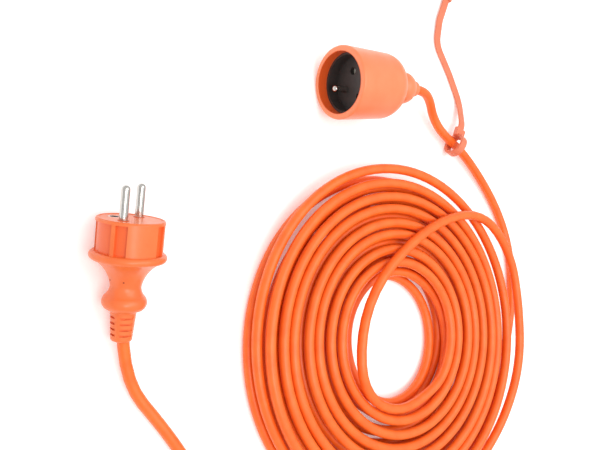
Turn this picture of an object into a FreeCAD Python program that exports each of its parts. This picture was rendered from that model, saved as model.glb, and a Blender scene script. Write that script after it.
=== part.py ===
"""Grounded extension cord, laid out: moulded plug, thirteen metres of cord in a loose coil,
portable socket, and a cap for the socket on a strap.

Millimetres. +Z is up and the cord lies on the plane Z = 0. The plug and the socket are
modelled in frames of their own, with +Z along the mating direction, and then laid down.
"""
import FreeCAD
import Part
import math
import os
from FreeCAD import Placement, Rotation, Vector

# Cord
CORD_D = 7.0
CORE_D = 2.8
CORE_PITCH_R = 1.7
SEAT_GAP = 0.12

# Contacts, shared by the plug and the socket
PIN_D = 4.8
PIN_SPACING = 19.0
PIN_LENGTH = 19.0
EARTH_OFFSET = 10.0
BORE_GAP = 0.05
SHANK_D = 4.2
TAIL_D = 3.8
TAIL_LENGTH = 6.0

# Plug
PLUG_BODY_D = 37.5
PLUG_BODY_LENGTH = 18.0
PLUG_FLANGE_D = 42.0
PLUG_FLANGE_THICK = 4.6
PLUG_WAIST_D = 17.0
PLUG_WAIST_Z = 37.0
PLUG_BULGE_D = 24.6
PLUG_BULGE_Z = 46.0
PLUG_RELIEF_Z = 51.6
PLUG_RELIEF_D = 14.2
PLUG_RELIEF_TIP_D = 12.0
PLUG_LENGTH = 68.0
PLUG_JACKET_Z = 48.0
PLUG_PANEL_DEPTH = 1.5
PLUG_PANEL_RIM = 1.6
PLUG_PANELS_DEG = [(102.0, 174.0), (75.0, 95.0), (181.0, 201.0)]
SLOT_ROWS = 4
SLOT_PITCH = 3.3
SLOT_HEIGHT = 1.2
SLOT_DEPTH = 1.6
SLOT_FACES_DEG = [(45.0, 7.2), (135.0, 7.2), (225.0, 7.2), (315.0, 7.2)]
BRIDGE_D = 30.0
BRIDGE_FRONT_Z = 3.0
BRIDGE_THICK = 9.0
SLEEVE_D = 6.8
SLEEVE_DEPTH = 17.0
SLEEVE_BACK = 2.0

# Socket
SOCKET_D = 50.0
SOCKET_REAR_D = 46.4
SOCKET_SKIRT_LENGTH = 40.0
SOCKET_SHOULDER_Z = 53.0
SOCKET_NECK_D = 19.0
SOCKET_BULGE_D = 23.2
SOCKET_BULGE_Z = 62.5
SOCKET_KNOB_Z = 71.5
SOCKET_KNOB_D = 11.6
SOCKET_LENGTH = 78.0
SOCKET_JACKET_Z = 70.0
MOUTH_D = 42.0
MOUTH_DEPTH = 7.4
RIM_ROUND = 1.5
INSERT_WALL = 1.6
RECESS_DEPTH = 16.0
FLOOR_THICK = 3.0
PIN_HOLE_D = 5.2
EARTH_TIP_DEPTH = 3.5
SHUTTER_THICK = 2.0
SHUTTER_GAP = 0.3
SHUTTER_WIDTH = 26.0
SHUTTER_LOW_Y = -2.9
SHUTTER_HIGH_Y = 4.0
GUIDE_THICK = 2.0
GUIDE_TRAVEL = 6.4
CARRIER_LENGTH = 18.4
CONTACT_D = 6.8
CONTACT_LENGTH = 15.5
CONTACT_SLIT = 1.0
SPRING_D = 2.2
SPRING_WIRE_D = 0.4
SPRING_TURNS = 9

# Coil, seen from above: centre, radii of the cord's centreline, and turns of each layer
COIL_CENTRE = (0.0, 11.0)
COIL_OUTER_R = 122.0
COIL_INNER_R = (43.0, 47.0)
COIL_START_DEG = 45.0
COIL_TURNS = (7.11, 7.40, 7.836)
LAYER_STEP = 7.6
WANDER_R = 0.5
WANDER_PER_TURN = 0.37
DRIFT_R = 0.7
DRIFT_PER_TURN = 0.21
KNOTS_PER_TURN = 4
# The last loop has slid across the pile. Each knot is its angle from the coil's centre in
# degrees, its radius as a share of the way from the inner to the outer loops, its height
# over the floor layer as a share of the pile, and its heading in degrees.
TOP_LOOP = [
    (-90.0, 0.0, 1.0, 165.0),
    (141.01, 0.8143, 1.0, 97.0),
    (102.48, 1.1008, 0.96, 8.0),
    (61.75, 1.1200, 0.72, -28.2),
    (25.78, 1.1206, 0.34, -64.2),
    (-6.0, 1.1203, 0.08, -96.0),
    (-25.02, 1.1199, 0.0, -115.0),
]

# Where the plug and the socket lie, before the whole is centred on the origin
PLUG_FACE_XY = (-99.0, -188.0)
PLUG_HEADING_DEG = 175.0
PLUG_TILT_DEG = 14.5
PLUG_TURN_DEG = -48.0
SOCKET_RIM_XY = (-181.5, -30.0)
SOCKET_HEADING_DEG = -90.0
SOCKET_EARTH_DEG = 9.0
ORIGIN_XY = (-91.57, -22.09)

# Cord routes between the moulded ends and the coil. Near the coil a point is its angle from
# the coil's centre, its distance outside the outer loops, and its height; the points near
# the socket are x, y, z before centring.
PLUG_FIRST_RUN = 39.7
PLUG_ROUTE_DEG = (-82.03, -72.06, -62.34, -52.41)
PLUG_ROUTE_OUT = (59.8, 51.9, 40.8, 26.5)
PLUG_LAST_RUN = 30.0
SOCKET_FIRST_RUN = 16.2
SOCKET_ROUTE = [
    (-175.9, 70.1, 14.9),
    (-164.0, 79.1, 8.0),
    (-150.5, 88.8, 7.2),
    (-134.0, 115.3, 6.2),
]
SOCKET_ROUTE_DEG = (123.40, 108.78, 94.57, 80.10)
SOCKET_ROUTE_OUT = (45.3, 39.7, 28.5, 17.6)
SOCKET_LAST_RUN = 36.0
ARC_SHARE = 0.45

# Cap and its tether
COLLAR_INNER_D = 14.0
COLLAR_OUTER_D = 18.4
COLLAR_WIDTH = 5.6
COLLAR_RUN = 4
COLLAR_SLACK = 1.4
COLLAR_HEAD = 6.0
HEAD_WIDTH = 9.0
HEAD_THICK = 3.6
STRAP_WIDTH = 6.4
STRAP_THICK = 1.6
STRAP_SEAT = 4.0
STRAP_LEAD = 5.0
STRAP_ROUTE = [
    (-178.0, 121.5, 0.95),
    (-201.0, 113.0, 0.95),
    (-226.0, 101.0, 0.95),
    (-246.0, 107.0, 1.8),
    (-268.4, 120.3, 1.8),
]
CAP_D = 50.0
CAP_THICK = 2.4
CAP_SPIGOT_D = 41.4
CAP_SPIGOT_WALL = 1.8
CAP_SPIGOT_HEIGHT = 6.4
CAP_TAB_WIDTH = 9.0
CAP_TAB_LENGTH = 7.0
CAP_TAB_THICK = 3.6
CAP_CLEAR = 0.3

CORD_R = CORD_D / 2
PIN_R = PIN_D / 2
SHANK_R = SHANK_D / 2
CORE_R = CORE_D / 2
TAIL_R = TAIL_D / 2
PILE_RISE = LAYER_STEP * len(COIL_TURNS)


def revolved(edges):
    """A solid of revolution about Z from a closed profile in the XZ plane."""
    face = Part.Face(Part.Wire(edges))
    return face.revolve(Vector(0, 0, 0), Vector(0, 0, 1), 360)


def profile(steps):
    """Edges from a list of (r, z) corners, where a step of two pairs is an arc via the first."""
    edges = []
    here = Vector(steps[0][0], 0, steps[0][1])
    for step in steps[1:] + [steps[0]]:
        if isinstance(step[0], tuple):
            via = Vector(step[0][0], 0, step[0][1])
            there = Vector(step[1][0], 0, step[1][1])
            edges.append(Part.Arc(here, via, there).toShape())
        else:
            there = Vector(step[0], 0, step[1])
            if there.distanceToPoint(here) > 1e-6:
                edges.append(Part.LineSegment(here, there).toShape())
        here = there
    return edges


def rod(radius, low_z, high_z, x=0.0, y=0.0):
    return Part.makeCylinder(radius, high_z - low_z, Vector(x, y, low_z))


def block(x0, x1, y0, y1, z0, z1):
    return Part.makeBox(x1 - x0, y1 - y0, z1 - z0, Vector(x0, y0, z0))


def arc_edge(start, corner, end):
    """The arc that leaves start towards corner and reaches end coming from corner."""
    middle = (start + end) * 0.5
    half = (end - start).Length / 2
    height = (corner - middle).Length
    if height < 1e-4:
        return Part.LineSegment(start, end).toShape()
    bend = math.atan2(height, half)
    via = middle + (corner - middle) * (half * math.tan(bend / 2) / height)
    return Part.Arc(start, via, end).toShape()


def rounded_path(points, share=ARC_SHARE):
    """Straight runs joined by tangent arcs, each as large as its two runs allow."""
    edges = []
    radii = []
    here = points[0]
    for before, corner, after in zip(points, points[1:], points[2:]):
        run = min((corner - before).Length, (after - corner).Length)
        into = (before - corner).normalize()
        out = (after - corner).normalize()
        start = corner + into * (share * run)
        end = corner + out * (share * run)
        turn = math.pi - into.getAngle(out)
        radii.append(share * run / math.tan(turn / 2))
        edges.append(Part.LineSegment(here, start).toShape())
        edges.append(arc_edge(start, corner, end))
        here = end
    edges.append(Part.LineSegment(here, points[-1]).toShape())
    return edges, radii


def swept(edges, radius):
    """A round tube along tangent edges."""
    wire = Part.Wire(edges)
    start = edges[0].valueAt(edges[0].FirstParameter)
    heading = edges[0].tangentAt(edges[0].FirstParameter)
    ring = Part.Wire(Part.makeCircle(radius, start, heading))
    shell = Part.BRepOffsetAPI.MakePipeShell(wire)
    shell.add(ring)
    shell.build()
    shell.makeSolid()
    return shell.shape()


def biarc(start, start_heading, end, end_heading):
    """Two tangent arcs between two points with given headings."""
    gap = end - start
    both = start_heading + end_heading
    spread = 2 * (1 - start_heading.dot(end_heading))
    reach = gap.dot(both)
    handle = (math.sqrt(reach * reach + spread * gap.dot(gap)) - reach) / spread
    first = start + start_heading * handle
    last = end - end_heading * handle
    joint = (first + last) * 0.5
    return [arc_edge(start, first, joint), arc_edge(joint, last, end)]


def frame_from(origin, z_axis, y_hint):
    return Placement(origin, Rotation(Vector(), y_hint, z_axis, "ZYX"))


def plug_frame():
    """Lies on the flange's edge, with the pins raised, turned so that the earth sleeve is
    low on the -Y side."""
    tilt = math.radians(PLUG_TILT_DEG)
    heading = math.radians(PLUG_HEADING_DEG)
    axis = Vector(math.cos(tilt) * math.cos(heading), math.cos(tilt) * math.sin(heading), math.sin(tilt))
    edge_r = PLUG_FLANGE_THICK / 2
    height = edge_r + (PLUG_FLANGE_D / 2 - edge_r) * math.cos(tilt)
    height += (PLUG_BODY_LENGTH + edge_r) * math.sin(tilt)
    level = Vector(0, 0, 1).cross(axis).normalize() * -1
    side = Rotation(axis, PLUG_TURN_DEG).multVec(level)
    return frame_from(Vector(PLUG_FACE_XY[0], PLUG_FACE_XY[1], height), axis, side)


def socket_frame():
    """Lies on its rim and on the back edge of its skirt, with the mouth towards -Y."""
    tilt = math.atan2((SOCKET_D - SOCKET_REAR_D) / 2, SOCKET_SKIRT_LENGTH - RIM_ROUND)
    heading = math.radians(SOCKET_HEADING_DEG)
    axis = Vector(math.cos(tilt) * math.cos(heading), math.cos(tilt) * math.sin(heading), math.sin(tilt))
    height = SOCKET_D / 2 * math.cos(tilt) + RIM_ROUND * math.sin(tilt)
    up = Vector(-math.sin(math.radians(SOCKET_EARTH_DEG)), 0, math.cos(math.radians(SOCKET_EARTH_DEG)))
    return frame_from(Vector(SOCKET_RIM_XY[0], SOCKET_RIM_XY[1], height), axis, up)


def core_path(x, y, from_z, to_z, angle_deg):
    """A core from its crimp down to its place in the jacket's end, on the -Z side."""
    angle = math.radians(angle_deg)
    end_x = CORE_PITCH_R * math.cos(angle)
    end_y = CORE_PITCH_R * math.sin(angle)
    length = to_z - from_z
    points = [
        Vector(x, y, -from_z),
        Vector(x, y, -from_z - 0.12 * length),
        Vector(end_x, end_y, -from_z - 0.70 * length),
        Vector(end_x, end_y, -to_z),
    ]
    return rounded_path(points, 0.4)[0]


def core_set(from_z, to_z, radius):
    """Live, neutral and earth cores as three tubes of the given radius."""
    half = PIN_SPACING / 2
    live = swept(core_path(half, 0, from_z, to_z, 30), radius)
    neutral = swept(core_path(-half, 0, from_z, to_z, 150), radius)
    earth = swept(core_path(0, -EARTH_OFFSET, from_z, to_z, 270), radius)
    return [live, neutral, earth]


def sector(inner_r, outer_r, from_deg, to_deg, low_z, high_z):
    """Part of a ring between two angles, as a cutter."""
    span = to_deg - from_deg
    turn = Rotation(Vector(0, 0, 1), from_deg)
    outer = Part.makeCylinder(outer_r, high_z - low_z, Vector(0, 0, low_z), Vector(0, 0, 1), span)
    inner = Part.makeCylinder(inner_r, high_z - low_z, Vector(0, 0, low_z))
    outer.Placement = Placement(Vector(0, 0, 0), turn).multiply(outer.Placement)
    return outer.cut(inner)


def plug_pin(side, grow=0.0):
    """Round-nosed pin that seats on the face, with a shank and a crimp tail behind it."""
    x = side * PIN_SPACING / 2
    back = BRIDGE_FRONT_Z + BRIDGE_THICK + 2
    shank = rod(SHANK_R + grow, -back, 0, x)
    tail = rod(TAIL_R + grow, -back - TAIL_LENGTH, -back, x)
    if grow:
        return shank.fuse(tail)
    front = rod(PIN_R, 0, PIN_LENGTH - PIN_R, x)
    nose = Part.makeSphere(PIN_R, Vector(x, 0, PIN_LENGTH - PIN_R))
    return front.fuse([nose, shank, tail]).removeSplitter()


def plug_tail_z():
    return BRIDGE_FRONT_Z + BRIDGE_THICK + 2 + TAIL_LENGTH


def plug_sleeve(grow=0.0):
    """Earth sleeve with a closed back and a crimp tail."""
    y = -EARTH_OFFSET
    back = SLEEVE_DEPTH + SLEEVE_BACK
    tube = rod(SLEEVE_D / 2 + grow, -back, 0, 0, y)
    tail = rod(TAIL_R + grow, -plug_tail_z(), -back, 0, y)
    body = tube.fuse(tail)
    if grow:
        return body
    return body.cut(rod(PIN_R + BORE_GAP, -SLEEVE_DEPTH, 0, 0, y))


def plug_bridge(grow=0.0):
    """Stiff disc that holds the pins and the sleeve."""
    low = -BRIDGE_FRONT_Z - BRIDGE_THICK
    disc = rod(BRIDGE_D / 2 + grow, low, -BRIDGE_FRONT_Z)
    if grow:
        return disc
    for tool in (plug_pin(1, BORE_GAP), plug_pin(-1, BORE_GAP), plug_sleeve(BORE_GAP)):
        disc = disc.cut(tool)
    return disc


def plug_outer():
    """The overmould's turned shape, from the face to the relief's tip."""
    body_r = PLUG_BODY_D / 2
    flange_r = PLUG_FLANGE_D / 2
    flange_z = PLUG_BODY_LENGTH
    edge_r = PLUG_FLANGE_THICK / 2
    waist = (PLUG_WAIST_D / 2, -PLUG_WAIST_Z)
    bulge = (PLUG_BULGE_D / 2, -PLUG_BULGE_Z)
    back = flange_z + PLUG_FLANGE_THICK
    return revolved(profile([
        (0, 0),
        (body_r - 0.8, 0),
        ((body_r - 0.24, -0.24), (body_r, -0.8)),
        (body_r, -flange_z),
        (flange_r - edge_r, -flange_z),
        ((flange_r, -flange_z - edge_r), (flange_r - edge_r, -back)),
        ((waist[0] + 3.3, -back - 0.417 * (PLUG_WAIST_Z - back)), waist),
        ((waist[0] + 0.55, waist[1] - 2.7), (waist[0] + 2.1, waist[1] - 5.2)),
        (bulge, (bulge[0] - 1.9, bulge[1] - 3.6)),
        ((PLUG_RELIEF_D / 2 + 0.9, -PLUG_RELIEF_Z + 0.9), (PLUG_RELIEF_D / 2, -PLUG_RELIEF_Z)),
        (PLUG_RELIEF_TIP_D / 2, -PLUG_LENGTH + 1.6),
        ((PLUG_RELIEF_TIP_D / 2 - 0.45, -PLUG_LENGTH + 0.45), (PLUG_RELIEF_TIP_D / 2 - 1.4, -PLUG_LENGTH)),
        (0, -PLUG_LENGTH),
    ]))


def relief_slots():
    """Four rows of cross slots on four faces, which let the relief bend."""
    cuts = []
    first = PLUG_RELIEF_Z + 2.4
    for row in range(SLOT_ROWS):
        z = -first - row * SLOT_PITCH
        reach = PLUG_RELIEF_D / 2 - SLOT_DEPTH - 0.25 * row
        for angle, width in SLOT_FACES_DEG:
            cut = block(reach, PLUG_RELIEF_D, -width / 2, width / 2, z - SLOT_HEIGHT / 2, z + SLOT_HEIGHT / 2)
            cut.rotate(Vector(0, 0, 0), Vector(0, 0, 1), angle)
            cuts.append(cut)
    return cuts


def plug_body():
    """Overmould: the turned shape, side panels, relief slots, and room for what it holds."""
    body = plug_outer()
    panel_r = PLUG_BODY_D / 2 - PLUG_PANEL_DEPTH
    cuts = []
    for side in (0.0, 180.0):
        for low, high in PLUG_PANELS_DEG:
            cuts.append(sector(panel_r, PLUG_BODY_D, low + side, high + side,
                               -PLUG_BODY_LENGTH, -PLUG_PANEL_RIM))
    cuts += relief_slots()
    cuts += [plug_pin(1, SEAT_GAP), plug_pin(-1, SEAT_GAP), plug_sleeve(SEAT_GAP), plug_bridge(SEAT_GAP)]
    cuts += core_set(plug_tail_z(), PLUG_JACKET_Z, CORE_R + SEAT_GAP)
    cuts.append(rod(CORD_R + SEAT_GAP, -PLUG_LENGTH, -PLUG_JACKET_Z))
    for cut in cuts:
        body = body.cut(cut)
    return body


def socket_outer():
    rim_r = SOCKET_D / 2
    rear_r = SOCKET_REAR_D / 2
    neck_r = SOCKET_NECK_D / 2
    bulge = (SOCKET_BULGE_D / 2, -SOCKET_BULGE_Z)
    knob_r = SOCKET_KNOB_D / 2
    skirt = SOCKET_SKIRT_LENGTH
    shoulder = SOCKET_SHOULDER_Z
    shoulder_via = (rear_r - 0.307 * (rear_r - neck_r), -skirt - 0.654 * (shoulder - skirt))
    return revolved(profile([
        (0, 0),
        (rim_r - RIM_ROUND, 0),
        ((rim_r - 0.44, -0.44), (rim_r, -RIM_ROUND)),
        (rear_r, -skirt),
        (shoulder_via, (neck_r + 1.5, -shoulder)),
        (neck_r, -shoulder - 1.5),
        ((neck_r + 0.9, -shoulder - 4.0), (bulge[0], bulge[1] + 2.0)),
        ((bulge[0] - 0.6, bulge[1] - 3.4), (knob_r + 1.0, -SOCKET_KNOB_Z)),
        (knob_r, -SOCKET_KNOB_Z - 0.8),
        (knob_r, -SOCKET_LENGTH + 2.0),
        ((knob_r - 0.6, -SOCKET_LENGTH + 0.6), (knob_r - 2.0, -SOCKET_LENGTH)),
        (0, -SOCKET_LENGTH),
    ]))


def insert_back_z():
    return RECESS_DEPTH + FLOOR_THICK + SHUTTER_THICK + 2 * SHUTTER_GAP


def carrier_back_z():
    return insert_back_z() + CARRIER_LENGTH


def socket_tail_z():
    return carrier_back_z() + 4


def socket_earth_pin(grow=0.0):
    """Earth pin that stands on the recess's floor, with a shank and a crimp tail behind it."""
    y = -EARTH_OFFSET
    tip = -EARTH_TIP_DEPTH - PIN_R
    back = -carrier_back_z() + 2
    shank = rod(SHANK_R + grow, back, -RECESS_DEPTH, 0, y)
    tail = rod(TAIL_R + grow, -socket_tail_z(), back, 0, y)
    if grow:
        return shank.fuse(tail)
    front = rod(PIN_R, -RECESS_DEPTH, tip, 0, y)
    nose = Part.makeSphere(PIN_R, Vector(0, y, tip))
    return front.fuse([nose, shank, tail]).removeSplitter()


def socket_contact(side, grow=0.0):
    """Slit sleeve that grips one pin, with its crimp tail."""
    x = side * PIN_SPACING / 2
    top = -insert_back_z() - 1
    low = top - CONTACT_LENGTH
    body = rod(CONTACT_D / 2 + grow, low, top, x).fuse(rod(TAIL_R + grow, -socket_tail_z(), low, x))
    if grow:
        return body
    body = body.cut(rod(PIN_R + BORE_GAP, low + 1.5, top, x))
    return body.cut(block(x - CONTACT_SLIT / 2, x + CONTACT_SLIT / 2, 0, CONTACT_D, low + 3, top))


def socket_insert():
    """Black face: a short cup with a floor, two pin holes and the earth pin's hole."""
    outer = MOUTH_D / 2 - SEAT_GAP
    inner = outer - INSERT_WALL
    floor = -RECESS_DEPTH
    cup = rod(outer, -insert_back_z(), -MOUTH_DEPTH)
    cuts = [
        rod(inner, floor, -MOUTH_DEPTH),
        rod(inner, -insert_back_z(), floor - FLOOR_THICK),
        rod(PIN_HOLE_D / 2, floor - FLOOR_THICK, floor, PIN_SPACING / 2),
        rod(PIN_HOLE_D / 2, floor - FLOOR_THICK, floor, -PIN_SPACING / 2),
        rod(SHANK_R + BORE_GAP, floor - FLOOR_THICK, floor, 0, -EARTH_OFFSET),
    ]
    for cut in cuts:
        cup = cup.cut(cut)
    return cup


def socket_carrier():
    """Block behind the shutter that holds the contacts, with two guides for the shutter."""
    top = -insert_back_z()
    body = rod(MOUTH_D / 2 - SEAT_GAP, -carrier_back_z(), top)
    guide_x = SHUTTER_WIDTH / 2 + SHUTTER_GAP
    guide_top = -RECESS_DEPTH - FLOOR_THICK
    for side in (-1, 1):
        near = side * guide_x
        far = side * (guide_x + GUIDE_THICK)
        guide = block(min(near, far), max(near, far), SHUTTER_LOW_Y, SHUTTER_HIGH_Y + GUIDE_TRAVEL,
                      top, guide_top)
        body = body.fuse(guide)
        pin_room = rod(PIN_R + 2 * BORE_GAP, top - 1, top, side * PIN_SPACING / 2)
        body = body.cut(pin_room)
        body = body.cut(socket_contact(side, BORE_GAP))
    return body.cut(socket_earth_pin(BORE_GAP)).removeSplitter()


def shutter_z():
    return -RECESS_DEPTH - FLOOR_THICK - SHUTTER_GAP


def socket_shutter():
    """Plate that closes both pin holes and slides clear of them along +Y."""
    half = SHUTTER_WIDTH / 2
    top = shutter_z()
    plate = block(-half, half, SHUTTER_LOW_Y, SHUTTER_HIGH_Y, top - SHUTTER_THICK, top)
    ramps = [edge for edge in plate.Edges if abs(edge.CenterOfMass.z - top) < 1e-6
             and abs(edge.CenterOfMass.y - SHUTTER_LOW_Y) < 1e-6]
    return plate.makeChamfer(0.8, ramps)


def shutter_spring():
    """Small compression spring between the shutter and the insert's wall."""
    radius = (SPRING_D - SPRING_WIRE_D) / 2
    wall = MOUTH_D / 2 - SEAT_GAP - INSERT_WALL
    low = SHUTTER_HIGH_Y + 0.1 + SPRING_WIRE_D / 2
    length = wall - 0.3 - SPRING_WIRE_D - low
    pitch = length / SPRING_TURNS
    helix = Part.makeHelix(pitch, length, radius)
    start = helix.Edges[0].valueAt(helix.Edges[0].FirstParameter)
    heading = helix.Edges[0].tangentAt(helix.Edges[0].FirstParameter)
    ring = Part.Wire(Part.makeCircle(SPRING_WIRE_D / 2, start, heading))
    shell = Part.BRepOffsetAPI.MakePipeShell(Part.Wire(helix.Edges))
    shell.setFrenetMode(True)
    shell.add(ring)
    shell.build()
    shell.makeSolid()
    coil = shell.shape()
    middle = shutter_z() - SHUTTER_THICK / 2
    coil.Placement = Placement(Vector(0, low, middle), Rotation(Vector(1, 0, 0), -90))
    return coil


def socket_body():
    """Overmould round the insert and the carrier, with the recess's mouth."""
    body = socket_outer()
    cuts = [rod(MOUTH_D / 2, -carrier_back_z(), 0)]
    cuts += [rod(TAIL_R + SEAT_GAP, -socket_tail_z(), -carrier_back_z(), side * PIN_SPACING / 2)
             for side in (-1, 1)]
    cuts.append(rod(TAIL_R + SEAT_GAP, -socket_tail_z(), -carrier_back_z(), 0, -EARTH_OFFSET))
    cuts += core_set(socket_tail_z(), SOCKET_JACKET_Z, CORE_R + SEAT_GAP)
    cuts.append(rod(CORD_R + SEAT_GAP, -SOCKET_LENGTH, -SOCKET_JACKET_Z))
    for cut in cuts:
        body = body.cut(cut)
    return body


def coil_radius_at(turns):
    """Radius and height of the loops' centreline after some turns, layer by layer."""
    done = 0.0
    outer, inner = COIL_OUTER_R, COIL_INNER_R
    spans = [(outer, inner[0]), (inner[0], outer), (outer, inner[1])]
    height = 0.0
    for layer, (count, (start, end)) in enumerate(zip(COIL_TURNS, spans)):
        if turns <= done + count or layer == len(spans) - 1:
            share = min((turns - done) / count, 1.0)
            radius = start + (end - start) * share
            break
        done += count
    reversals = [sum(COIL_TURNS[:index + 1]) for index in range(len(COIL_TURNS))]
    for reversal in reversals:
        climb = (turns - reversal + 0.25) / 0.5
        climb = max(0.0, min(1.0, climb))
        height += LAYER_STEP * climb * climb * (3 - 2 * climb)
    return radius, height


def coil_point(turns):
    """A point of the loops' centreline, going round clockwise seen from above."""
    radius, height = coil_radius_at(turns)
    fade = min(1.0, turns / 0.5)
    radius += WANDER_R * fade * math.sin(2 * math.pi * WANDER_PER_TURN * turns)
    slide = DRIFT_R * fade * math.sin(2 * math.pi * DRIFT_PER_TURN * turns)
    angle = math.radians(COIL_START_DEG) - 2 * math.pi * turns
    x = COIL_CENTRE[0] + slide + radius * math.cos(angle)
    y = COIL_CENTRE[1] - slide / 2 + radius * math.sin(angle)
    return Vector(x, y, CORD_R + height)


def coil_heading(turns):
    step = 0.004
    return (coil_point(turns + step) - coil_point(max(0.0, turns - step))).normalize()


def flat_heading(degrees):
    return Vector(math.cos(math.radians(degrees)), math.sin(math.radians(degrees)), 0)


def from_centre(degrees, radius, z):
    """A point given by its angle and distance from the coil's centre."""
    return Vector(COIL_CENTRE[0], COIL_CENTRE[1], z) + flat_heading(degrees) * radius


def coil_knots():
    """Points and headings of the whole coil, from the socket's side to the plug's."""
    total = sum(COIL_TURNS)
    count = round((total - 0.25) * KNOTS_PER_TURN)
    start_heading = flat_heading(COIL_START_DEG - 90)
    knots = [(coil_point(0), start_heading)]
    for index in range(1, count + 1):
        turns = (total - 0.25) * index / count
        knots.append((coil_point(turns), coil_heading(turns)))
    inner = COIL_INNER_R[1]
    top = [from_centre(angle, inner + (COIL_OUTER_R - inner) * way, CORD_R + PILE_RISE * share)
           for angle, way, share, _ in TOP_LOOP]
    for index, (_, _, _, degrees) in enumerate(TOP_LOOP):
        heading = flat_heading(degrees)
        if 0 < index < len(TOP_LOOP) - 1:
            rise = (top[index + 1].z - top[index - 1].z) / (top[index + 1] - top[index - 1]).Length
            heading.z = rise
            heading.normalize()
        knots.append((top[index], heading))
    return knots


def coil_edges():
    knots = coil_knots()
    edges = []
    lead = knots[0][1] * CORD_D
    edges.append(Part.LineSegment(knots[0][0] - lead, knots[0][0]).toShape())
    for (start, start_heading), (end, end_heading) in zip(knots, knots[1:]):
        edges += biarc(start, start_heading, end, end_heading)
    tail = knots[-1][1] * CORD_D
    edges.append(Part.LineSegment(knots[-1][0], knots[-1][0] + tail).toShape())
    return edges


def least_self_gap(edges, diameter):
    """The smallest clear distance of a tube to itself, measured on points of its path."""
    points = []
    for edge in edges:
        count = max(2, int(edge.Length / 2.5))
        points += edge.discretize(count + 1)[:-1]
    lengths = [0.0]
    for before, after in zip(points, points[1:]):
        lengths.append(lengths[-1] + (after - before).Length)
    cells = {}
    size = 12.0
    for index, point in enumerate(points):
        key = (int(point.x // size), int(point.y // size), int(point.z // size))
        cells.setdefault(key, []).append(index)
    least = 1e9
    place = None
    for (i, j, k), members in cells.items():
        near = [n for di in (-1, 0, 1) for dj in (-1, 0, 1) for dk in (-1, 0, 1)
                for n in cells.get((i + di, j + dj, k + dk), [])]
        for a in members:
            for b in near:
                if lengths[b] - lengths[a] > 5 * diameter:
                    gap = (points[a] - points[b]).Length
                    if gap < least:
                        least = gap
                        place = (points[a], lengths[a], lengths[b])
    return least - diameter, place


def plug_route():
    """Jacket's end inside the plug, the listed points, and the coil's end."""
    place = plug_frame()
    axis = place.Rotation.multVec(Vector(0, 0, 1))
    inner = place.multVec(Vector(0, 0, -PLUG_JACKET_Z))
    first = inner - axis * PLUG_FIRST_RUN
    end_point, end_heading = coil_knots()[-1]
    end = end_point + end_heading * CORD_D
    last = end + end_heading * PLUG_LAST_RUN
    near = [from_centre(angle, COIL_OUTER_R + out, CORD_R)
            for angle, out in zip(PLUG_ROUTE_DEG, PLUG_ROUTE_OUT)]
    return [inner, first] + near + [last, end]


def socket_route():
    place = socket_frame()
    axis = place.Rotation.multVec(Vector(0, 0, 1))
    inner = place.multVec(Vector(0, 0, -SOCKET_JACKET_Z))
    first = inner - axis * SOCKET_FIRST_RUN
    start_point, start_heading = coil_knots()[0]
    end = start_point - start_heading * CORD_D
    last = end - start_heading * SOCKET_LAST_RUN
    listed = [Vector(*point) for point in SOCKET_ROUTE]
    near = [from_centre(angle, COIL_OUTER_R + out, CORD_R)
            for angle, out in zip(SOCKET_ROUTE_DEG, SOCKET_ROUTE_OUT)]
    return [inner, first] + listed + near + [last, end]


def collar_place():
    """Centre of the loose eyelet, which stands on the floor round the chosen run of the
    socket's cord: +Z lies along the cord and +Y points to the strap's side."""
    route = socket_route()
    start = route[COLLAR_RUN]
    end = route[COLLAR_RUN + 1]
    along = Vector(end.x - start.x, end.y - start.y, 0).normalize()
    side = along.cross(Vector(0, 0, 1)) * -1
    middle = (start + end) * 0.5
    centre = Vector(middle.x, middle.y, COLLAR_OUTER_D / 2 + 0.1) - side * COLLAR_SLACK
    return frame_from(centre, along, side)


def strap_slot(front_y, length):
    """Room for a strap's end, as a cutter whose length runs along Y."""
    half_thick = STRAP_THICK / 2 + SEAT_GAP
    half_width = STRAP_WIDTH / 2 + SEAT_GAP
    return block(-half_thick, half_thick, front_y - length, front_y, -half_width, half_width)


def tether_collar():
    """Eyelet loose round the cord, with a flat head that takes the strap's end."""
    low = -COLLAR_WIDTH / 2
    reach = COLLAR_OUTER_D / 2 + COLLAR_HEAD
    ring = rod(COLLAR_OUTER_D / 2, low, -low)
    head = block(-HEAD_THICK / 2, HEAD_THICK / 2, COLLAR_INNER_D / 2 + 0.6, reach,
                 -HEAD_WIDTH / 2, HEAD_WIDTH / 2)
    collar = ring.fuse(head)
    collar = collar.cut(rod(COLLAR_INNER_D / 2, low - 1, 1 - low))
    collar = collar.cut(strap_slot(reach, STRAP_SEAT)).removeSplitter()
    collar.Placement = collar_place()
    return collar


def strap_points():
    """From the bottom of the collar's slot straight out of it, and on to the cap."""
    place = collar_place()
    reach = COLLAR_OUTER_D / 2 + COLLAR_HEAD
    start = place.multVec(Vector(0, reach - STRAP_SEAT + SEAT_GAP, 0))
    lead = place.multVec(Vector(0, reach + STRAP_LEAD, 0))
    return [start, lead] + [Vector(*point) for point in STRAP_ROUTE]


def tether_strap():
    """Flat strap that comes down from the collar and runs on along the floor."""
    edges, _ = rounded_path(strap_points())
    heading = edges[0].tangentAt(edges[0].FirstParameter)
    start = edges[0].valueAt(edges[0].FirstParameter)
    across = heading.cross(Vector(0, 0, 1)).normalize() * (STRAP_WIDTH / 2)
    lift = across.cross(heading).normalize() * (STRAP_THICK / 2)
    corners = [start + across + lift, start + across - lift, start - across - lift, start - across + lift]
    shell = Part.BRepOffsetAPI.MakePipeShell(Part.Wire(edges))
    shell.setBiNormalMode(Vector(0, 0, 1))
    shell.add(Part.makePolygon(corners + corners[:1]))
    shell.build()
    shell.makeSolid()
    return shell.shape()


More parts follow.
